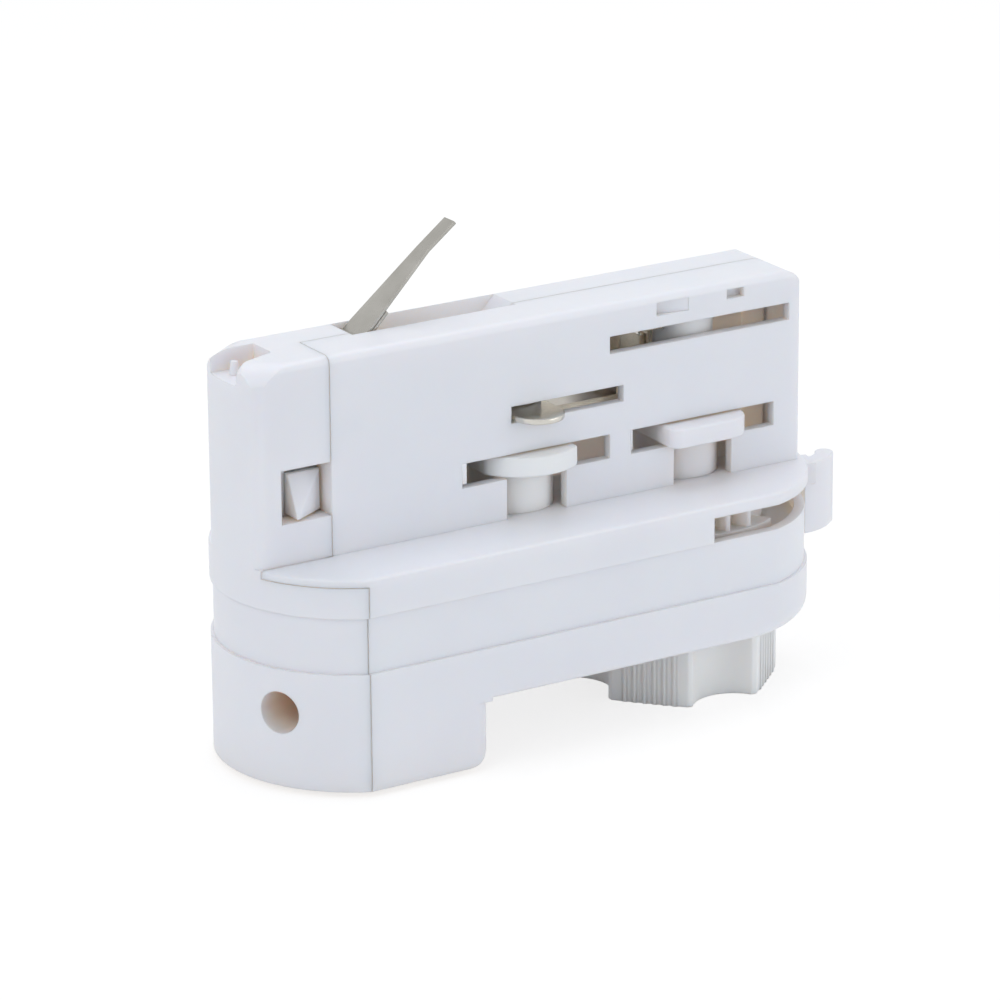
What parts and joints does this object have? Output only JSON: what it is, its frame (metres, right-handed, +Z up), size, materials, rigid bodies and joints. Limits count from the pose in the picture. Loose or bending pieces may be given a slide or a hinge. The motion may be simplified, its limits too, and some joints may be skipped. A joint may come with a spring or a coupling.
{
  "type": "track light adapter",
  "caption": "White track light adapter: slim box with locking wings and contacts on a wide body, side lever, geared cam, circuit knob, earth spring and threaded stem bush.",
  "frame": {"origin": "axis of the stem bore at the bottom face of the foot", "axes": "+X along the track to the lever end, +Y to the rear, +Z up into the track"},
  "size_m": [0.0988, 0.036, 0.072],
  "materials": {
    "housing": "smooth moulded white, satin",
    "nylon": "natural off-white nylon",
    "contact": "nickel-plated sheet",
    "spring_steel": "bright rolled spring steel",
    "steel": "zinc-plated turned steel"
  },
  "bodies": {
    "housing": {"front_shell": "housing", "rear_shell": "housing", "latch_spring": "spring_steel", "earth_strip": "contact", "neutral_strip": "contact", "phase_strip": "contact", "terminal_block": "nylon", "terminal_clamps": "contact", "terminal_screws": "steel", "housing_screws": "steel", "stem_bush": "steel", "set_screw": "steel", "detent_spring": "spring_steel"},
    "lever": {"lock_lever": "housing"},
    "cam": {"driven_cam": "nylon", "neutral_contact": "contact"},
    "selector": {"selector_knob": "nylon", "contact_carrier": "nylon", "phase_contact": "contact"},
    "latch": {"latch_plunger": "housing"},
    "earth": {"earth_spring": "spring_steel"}
  },
  "joints": [
    {"name": "lever_turn", "type": "hinge", "parent": "housing", "child": "lever", "pos_m": [0.0527, 0, 0.0266], "axis": [0, 0, 1], "range_deg": [-90, 0]},
    {"name": "cam_turn", "type": "hinge", "parent": "housing", "child": "cam", "pos_m": [0.0252, 0, 0.0266], "axis": [0, 0, 1], "range_deg": [0, 90]},
    {"name": "selector_turn", "type": "hinge", "parent": "housing", "child": "selector", "pos_m": [0.0527, 0, 0.005], "axis": [0, 0, 1], "range_deg": [-90, 90], "deforming": ["detent_spring"]},
    {"name": "latch_slide", "type": "slide", "parent": "housing", "child": "latch", "axis": [0, 1, 0], "range_m": [0, 0.002], "stiffness_N_per_m": 300, "deforming": ["latch_spring"]},
    {"name": "earth_press", "type": "hinge", "parent": "housing", "child": "earth", "pos_m": [0.0015, 0.0029, 0.0568], "axis": [0, 1, 0], "range_deg": [0, 42], "stiffness_Nm_per_rad": 0.06}
  ],
  "couplings": [
    {"joint": "cam_turn", "follows": "lever_turn", "ratio": -1}
  ]
}
